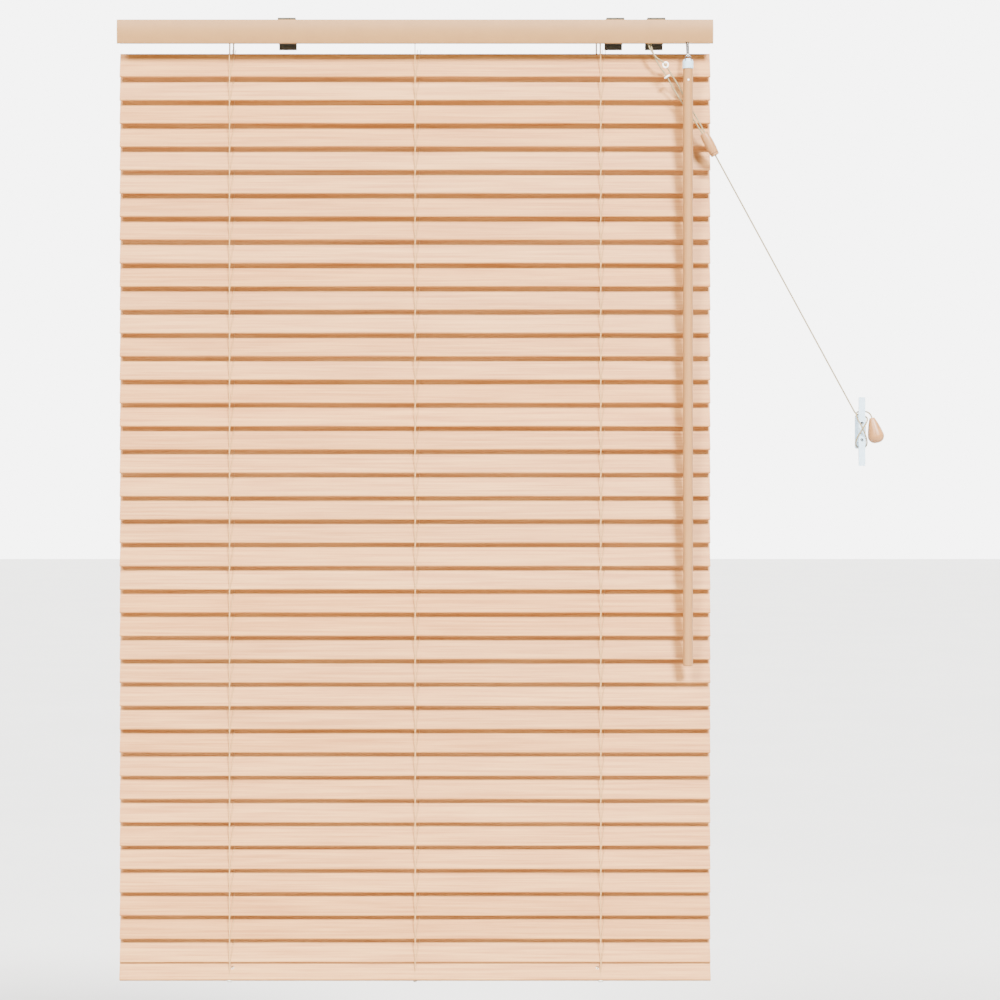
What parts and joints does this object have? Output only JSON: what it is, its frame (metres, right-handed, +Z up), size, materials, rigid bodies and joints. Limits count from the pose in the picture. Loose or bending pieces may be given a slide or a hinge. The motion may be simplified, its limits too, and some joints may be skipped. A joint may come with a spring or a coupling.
{
  "type": "venetian blind",
  "caption": "Wooden venetian blind with a bowed metal head rail, tilting slats on string ladders, a tilt wand, a pull cord wound on a cleat and a wooden tassel.",
  "frame": {"origin": "on the wall, at the top of the brackets and the middle of the head rail", "axes": "+X to the right as seen from the room, along the head rail; +Y into the wall; +Z up"},
  "size_m": [0.7754, 0.0442, 0.9725],
  "materials": {
    "rail_paint": "satin beige enamel on folded steel",
    "cap_plastic": "matte beige",
    "bracket_steel": "dark olive zinc",
    "white_plastic": "moulded nylon",
    "grey_plastic": "moulded nylon",
    "nickel": "nickel plated",
    "rod_steel": "zinc plated",
    "brass_roller": "knurled",
    "braided_cord": "braided polyester",
    "ladder_thread": "woven thread",
    "slat_wood": "matte lacquer on pale basswood",
    "bottom_wood": "matte lacquer on pale basswood",
    "wand_wood": "satin lacquer",
    "turned_wood": "satin lacquer",
    "clear_plastic": "pale blue translucent"
  },
  "bodies": {
    "head_rail": {"head_rail": "rail_paint", "end_caps": "cap_plastic", "mounting_brackets": "bracket_steel", "tilter_housing": "white_plastic", "ladder_cradles": "white_plastic", "cord_lock_body": "grey_plastic", "lift_cords": "braided_cord", "pull_cord": "braided_cord", "cord_joiner": "turned_wood", "tassel": "turned_wood", "cleat": "clear_plastic"},
    "tilt_rod": {"tilt_rod": "rod_steel", "ladder_drums": "white_plastic"},
    "tilter_worm": {"tilter_worm": "nickel"},
    "wand_bail": {"wand_bail": "nickel"},
    "wand": {"wand": "wand_wood", "wand_cap": "clear_plastic"},
    "cord_lock_roller": {"cord_lock_roller": "brass_roller"},
    "bottom_rail": {"bottom_rail": "bottom_wood"},
    "ladder_front_strings": {"ladder_front_strings": "ladder_thread"},
    "ladder_rear_strings": {"ladder_rear_strings": "ladder_thread"},
    "slat_01": {"slat_01": "slat_wood"},
    "slat_02": {"slat_02": "slat_wood"},
    "slat_03": {"slat_03": "slat_wood"},
    "slat_04": {"slat_04": "slat_wood"},
    "slat_05": {"slat_05": "slat_wood"},
    "slat_06": {"slat_06": "slat_wood"},
    "slat_07": {"slat_07": "slat_wood"},
    "slat_08": {"slat_08": "slat_wood"},
    "slat_09": {"slat_09": "slat_wood"},
    "slat_10": {"slat_10": "slat_wood"},
    "slat_11": {"slat_11": "slat_wood"},
    "slat_12": {"slat_12": "slat_wood"},
    "slat_13": {"slat_13": "slat_wood"},
    "slat_14": {"slat_14": "slat_wood"},
    "slat_15": {"slat_15": "slat_wood"},
    "slat_16": {"slat_16": "slat_wood"},
    "slat_17": {"slat_17": "slat_wood"},
    "slat_18": {"slat_18": "slat_wood"},
    "slat_19": {"slat_19": "slat_wood"},
    "slat_20": {"slat_20": "slat_wood"},
    "slat_21": {"slat_21": "slat_wood"},
    "slat_22": {"slat_22": "slat_wood"},
    "slat_23": {"slat_23": "slat_wood"},
    "slat_24": {"slat_24": "slat_wood"},
    "slat_25": {"slat_25": "slat_wood"},
    "slat_26": {"slat_26": "slat_wood"},
    "slat_27": {"slat_27": "slat_wood"},
    "slat_28": {"slat_28": "slat_wood"},
    "slat_29": {"slat_29": "slat_wood"},
    "slat_30": {"slat_30": "slat_wood"},
    "slat_31": {"slat_31": "slat_wood"},
    "slat_32": {"slat_32": "slat_wood"},
    "slat_33": {"slat_33": "slat_wood"},
    "slat_34": {"slat_34": "slat_wood"},
    "slat_35": {"slat_35": "slat_wood"},
    "slat_36": {"slat_36": "slat_wood"},
    "slat_37": {"slat_37": "slat_wood"},
    "slat_38": {"slat_38": "slat_wood"},
    "slat_39": {"slat_39": "slat_wood"}
  },
  "joints": [
    {"name": "tilt_rod_spin", "type": "hinge", "parent": "head_rail", "child": "tilt_rod", "pos_m": [0, -0.0182, -0.0136], "axis": [-1, 0, 0], "range_deg": [0, 300]},
    {"name": "tilter_worm_spin", "type": "hinge", "parent": "head_rail", "child": "tilter_worm", "pos_m": [0.2741, -0.0387, -0.0391], "axis": [0, -0.4384, -0.8988], "range_deg": [0, 3600]},
    {"name": "wand_bail_spin", "type": "hinge", "parent": "head_rail", "child": "wand_bail", "pos_m": [0.2741, -0.0387, -0.0391], "axis": [0, 0, -1], "range_deg": [0, 3600]},
    {"name": "wand_swing", "type": "hinge", "parent": "wand_bail", "child": "wand", "pos_m": [0.2741, -0.0387, -0.0444], "axis": [-1, 0, 0], "range_deg": [0, 40]},
    {"name": "cord_lock_release", "type": "slide", "parent": "head_rail", "child": "cord_lock_roller", "axis": [0, 0.5, 0.866], "range_m": [0, 0.003]},
    {"name": "slat_01_tilt", "type": "hinge", "parent": "head_rail", "child": "slat_01", "pos_m": [0, -0.0182, -0.0464], "axis": [-1, 0, 0], "range_deg": [0, 144]},
    {"name": "slat_02_tilt", "type": "hinge", "parent": "head_rail", "child": "slat_02", "pos_m": [0, -0.0182, -0.06994], "axis": [-1, 0, 0], "range_deg": [0, 144]},
    {"name": "slat_03_tilt", "type": "hinge", "parent": "head_rail", "child": "slat_03", "pos_m": [0, -0.0182, -0.09348], "axis": [-1, 0, 0], "range_deg": [0, 144]},
    {"name": "slat_04_tilt", "type": "hinge", "parent": "head_rail", "child": "slat_04", "pos_m": [0, -0.0182, -0.11702], "axis": [-1, 0, 0], "range_deg": [0, 144]},
    {"name": "slat_05_tilt", "type": "hinge", "parent": "head_rail", "child": "slat_05", "pos_m": [0, -0.0182, -0.14056], "axis": [-1, 0, 0], "range_deg": [0, 144]},
    {"name": "slat_06_tilt", "type": "hinge", "parent": "head_rail", "child": "slat_06", "pos_m": [0, -0.0182, -0.1641], "axis": [-1, 0, 0], "range_deg": [0, 144]},
    {"name": "slat_07_tilt", "type": "hinge", "parent": "head_rail", "child": "slat_07", "pos_m": [0, -0.0182, -0.18764], "axis": [-1, 0, 0], "range_deg": [0, 144]},
    {"name": "slat_08_tilt", "type": "hinge", "parent": "head_rail", "child": "slat_08", "pos_m": [0, -0.0182, -0.21118], "axis": [-1, 0, 0], "range_deg": [0, 144]},
    {"name": "slat_09_tilt", "type": "hinge", "parent": "head_rail", "child": "slat_09", "pos_m": [0, -0.0182, -0.23472], "axis": [-1, 0, 0], "range_deg": [0, 144]},
    {"name": "slat_10_tilt", "type": "hinge", "parent": "head_rail", "child": "slat_10", "pos_m": [0, -0.0182, -0.25826], "axis": [-1, 0, 0], "range_deg": [0, 144]},
    {"name": "slat_11_tilt", "type": "hinge", "parent": "head_rail", "child": "slat_11", "pos_m": [0, -0.0182, -0.2818], "axis": [-1, 0, 0], "range_deg": [0, 144]},
    {"name": "slat_12_tilt", "type": "hinge", "parent": "head_rail", "child": "slat_12", "pos_m": [0, -0.0182, -0.30534], "axis": [-1, 0, 0], "range_deg": [0, 144]},
    {"name": "slat_13_tilt", "type": "hinge", "parent": "head_rail", "child": "slat_13", "pos_m": [0, -0.0182, -0.32888], "axis": [-1, 0, 0], "range_deg": [0, 144]},
    {"name": "slat_14_tilt", "type": "hinge", "parent": "head_rail", "child": "slat_14", "pos_m": [0, -0.0182, -0.35242], "axis": [-1, 0, 0], "range_deg": [0, 144]},
    {"name": "slat_15_tilt", "type": "hinge", "parent": "head_rail", "child": "slat_15", "pos_m": [0, -0.0182, -0.37596], "axis": [-1, 0, 0], "range_deg": [0, 144]},
    {"name": "slat_16_tilt", "type": "hinge", "parent": "head_rail", "child": "slat_16", "pos_m": [0, -0.0182, -0.3995], "axis": [-1, 0, 0], "range_deg": [0, 144]},
    {"name": "slat_17_tilt", "type": "hinge", "parent": "head_rail", "child": "slat_17", "pos_m": [0, -0.0182, -0.42304], "axis": [-1, 0, 0], "range_deg": [0, 144]},
    {"name": "slat_18_tilt", "type": "hinge", "parent": "head_rail", "child": "slat_18", "pos_m": [0, -0.0182, -0.44658], "axis": [-1, 0, 0], "range_deg": [0, 144]},
    {"name": "slat_19_tilt", "type": "hinge", "parent": "head_rail", "child": "slat_19", "pos_m": [0, -0.0182, -0.47012], "axis": [-1, 0, 0], "range_deg": [0, 144]},
    {"name": "slat_20_tilt", "type": "hinge", "parent": "head_rail", "child": "slat_20", "pos_m": [0, -0.0182, -0.49366], "axis": [-1, 0, 0], "range_deg": [0, 144]},
    {"name": "slat_21_tilt", "type": "hinge", "parent": "head_rail", "child": "slat_21", "pos_m": [0, -0.0182, -0.5172], "axis": [-1, 0, 0], "range_deg": [0, 144]},
    {"name": "slat_22_tilt", "type": "hinge", "parent": "head_rail", "child": "slat_22", "pos_m": [0, -0.0182, -0.54074], "axis": [-1, 0, 0], "range_deg": [0, 144]},
    {"name": "slat_23_tilt", "type": "hinge", "parent": "head_rail", "child": "slat_23", "pos_m": [0, -0.0182, -0.56428], "axis": [-1, 0, 0], "range_deg": [0, 144]},
    {"name": "slat_24_tilt", "type": "hinge", "parent": "head_rail", "child": "slat_24", "pos_m": [0, -0.0182, -0.58782], "axis": [-1, 0, 0], "range_deg": [0, 144]},
    {"name": "slat_25_tilt", "type": "hinge", "parent": "head_rail", "child": "slat_25", "pos_m": [0, -0.0182, -0.61136], "axis": [-1, 0, 0], "range_deg": [0, 144]},
    {"name": "slat_26_tilt", "type": "hinge", "parent": "head_rail", "child": "slat_26", "pos_m": [0, -0.0182, -0.6349], "axis": [-1, 0, 0], "range_deg": [0, 144]},
    {"name": "slat_27_tilt", "type": "hinge", "parent": "head_rail", "child": "slat_27", "pos_m": [0, -0.0182, -0.65844], "axis": [-1, 0, 0], "range_deg": [0, 144]},
    {"name": "slat_28_tilt", "type": "hinge", "parent": "head_rail", "child": "slat_28", "pos_m": [0, -0.0182, -0.68198], "axis": [-1, 0, 0], "range_deg": [0, 144]},
    {"name": "slat_29_tilt", "type": "hinge", "parent": "head_rail", "child": "slat_29", "pos_m": [0, -0.0182, -0.70552], "axis": [-1, 0, 0], "range_deg": [0, 144]},
    {"name": "slat_30_tilt", "type": "hinge", "parent": "head_rail", "child": "slat_30", "pos_m": [0, -0.0182, -0.72906], "axis": [-1, 0, 0], "range_deg": [0, 144]},
    {"name": "slat_31_tilt", "type": "hinge", "parent": "head_rail", "child": "slat_31", "pos_m": [0, -0.0182, -0.7526], "axis": [-1, 0, 0], "range_deg": [0, 144]},
    {"name": "slat_32_tilt", "type": "hinge", "parent": "head_rail", "child": "slat_32", "pos_m": [0, -0.0182, -0.77614], "axis": [-1, 0, 0], "range_deg": [0, 144]},
    {"name": "slat_33_tilt", "type": "hinge", "parent": "head_rail", "child": "slat_33", "pos_m": [0, -0.0182, -0.79968], "axis": [-1, 0, 0], "range_deg": [0, 144]},
    {"name": "slat_34_tilt", "type": "hinge", "parent": "head_rail", "child": "slat_34", "pos_m": [0, -0.0182, -0.82322], "axis": [-1, 0, 0], "range_deg": [0, 144]},
    {"name": "slat_35_tilt", "type": "hinge", "parent": "head_rail", "child": "slat_35", "pos_m": [0, -0.0182, -0.84676], "axis": [-1, 0, 0], "range_deg": [0, 144]},
    {"name": "slat_36_tilt", "type": "hinge", "parent": "head_rail", "child": "slat_36", "pos_m": [0, -0.0182, -0.8703], "axis": [-1, 0, 0], "range_deg": [0, 144]},
    {"name": "slat_37_tilt", "type": "hinge", "parent": "head_rail", "child": "slat_37", "pos_m": [0, -0.0182, -0.89384], "axis": [-1, 0, 0], "range_deg": [0, 144]},
    {"name": "slat_38_tilt", "type": "hinge", "parent": "head_rail", "child": "slat_38", "pos_m": [0, -0.0182, -0.91738], "axis": [-1, 0, 0], "range_deg": [0, 144]},
    {"name": "slat_39_tilt", "type": "hinge", "parent": "head_rail", "child": "slat_39", "pos_m": [0, -0.0182, -0.94092], "axis": [-1, 0, 0], "range_deg": [0, 144]},
    {"name": "bottom_rail_tilt", "type": "hinge", "parent": "head_rail", "child": "bottom_rail", "pos_m": [0, -0.0182, -0.95972], "axis": [-1, 0, 0], "range_deg": [0, 144]},
    {"name": "ladder_front_strings_shift", "type": "hinge", "parent": "slat_20", "child": "ladder_front_strings", "pos_m": [0, -0.02367, -0.51049], "axis": [1, 0, 0], "range_deg": [0, 144]},
    {"name": "ladder_rear_strings_shift", "type": "hinge", "parent": "slat_20", "child": "ladder_rear_strings", "pos_m": [0, -0.01273, -0.47683], "axis": [1, 0, 0], "range_deg": [0, 144]}
  ],
  "couplings": [
    {"joint": "tilter_worm_spin", "follows": "tilt_rod_spin", "ratio": 12},
    {"joint": "wand_bail_spin", "follows": "tilt_rod_spin", "ratio": 12},
    {"joint": "slat_01_tilt", "follows": "tilt_rod_spin", "ratio": 0.48},
    {"joint": "slat_02_tilt", "follows": "tilt_rod_spin", "ratio": 0.48},
    {"joint": "slat_03_tilt", "follows": "tilt_rod_spin", "ratio": 0.48},
    {"joint": "slat_04_tilt", "follows": "tilt_rod_spin", "ratio": 0.48},
    {"joint": "slat_05_tilt", "follows": "tilt_rod_spin", "ratio": 0.48},
    {"joint": "slat_06_tilt", "follows": "tilt_rod_spin", "ratio": 0.48},
    {"joint": "slat_07_tilt", "follows": "tilt_rod_spin", "ratio": 0.48},
    {"joint": "slat_08_tilt", "follows": "tilt_rod_spin", "ratio": 0.48},
    {"joint": "slat_09_tilt", "follows": "tilt_rod_spin", "ratio": 0.48},
    {"joint": "slat_10_tilt", "follows": "tilt_rod_spin", "ratio": 0.48},
    {"joint": "slat_11_tilt", "follows": "tilt_rod_spin", "ratio": 0.48},
    {"joint": "slat_12_tilt", "follows": "tilt_rod_spin", "ratio": 0.48},
    {"joint": "slat_13_tilt", "follows": "tilt_rod_spin", "ratio": 0.48},
    {"joint": "slat_14_tilt", "follows": "tilt_rod_spin", "ratio": 0.48},
    {"joint": "slat_15_tilt", "follows": "tilt_rod_spin", "ratio": 0.48},
    {"joint": "slat_16_tilt", "follows": "tilt_rod_spin", "ratio": 0.48},
    {"joint": "slat_17_tilt", "follows": "tilt_rod_spin", "ratio": 0.48},
    {"joint": "slat_18_tilt", "follows": "tilt_rod_spin", "ratio": 0.48},
    {"joint": "slat_19_tilt", "follows": "tilt_rod_spin", "ratio": 0.48},
    {"joint": "slat_20_tilt", "follows": "tilt_rod_spin", "ratio": 0.48},
    {"joint": "slat_21_tilt", "follows": "tilt_rod_spin", "ratio": 0.48},
    {"joint": "slat_22_tilt", "follows": "tilt_rod_spin", "ratio": 0.48},
    {"joint": "slat_23_tilt", "follows": "tilt_rod_spin", "ratio": 0.48},
    {"joint": "slat_24_tilt", "follows": "tilt_rod_spin", "ratio": 0.48},
    {"joint": "slat_25_tilt", "follows": "tilt_rod_spin", "ratio": 0.48},
    {"joint": "slat_26_tilt", "follows": "tilt_rod_spin", "ratio": 0.48},
    {"joint": "slat_27_tilt", "follows": "tilt_rod_spin", "ratio": 0.48},
    {"joint": "slat_28_tilt", "follows": "tilt_rod_spin", "ratio": 0.48},
    {"joint": "slat_29_tilt", "follows": "tilt_rod_spin", "ratio": 0.48},
    {"joint": "slat_30_tilt", "follows": "tilt_rod_spin", "ratio": 0.48},
    {"joint": "slat_31_tilt", "follows": "tilt_rod_spin", "ratio": 0.48},
    {"joint": "slat_32_tilt", "follows": "tilt_rod_spin", "ratio": 0.48},
    {"joint": "slat_33_tilt", "follows": "tilt_rod_spin", "ratio": 0.48},
    {"joint": "slat_34_tilt", "follows": "tilt_rod_spin", "ratio": 0.48},
    {"joint": "slat_35_tilt", "follows": "tilt_rod_spin", "ratio": 0.48},
    {"joint": "slat_36_tilt", "follows": "tilt_rod_spin", "ratio": 0.48},
    {"joint": "slat_37_tilt", "follows": "tilt_rod_spin", "ratio": 0.48},
    {"joint": "slat_38_tilt", "follows": "tilt_rod_spin", "ratio": 0.48},
    {"joint": "slat_39_tilt", "follows": "tilt_rod_spin", "ratio": 0.48},
    {"joint": "bottom_rail_tilt", "follows": "tilt_rod_spin", "ratio": 0.48},
    {"joint": "ladder_front_strings_shift", "follows": "tilt_rod_spin", "ratio": 0.48},
    {"joint": "ladder_rear_strings_shift", "follows": "tilt_rod_spin", "ratio": 0.48}
  ]
}
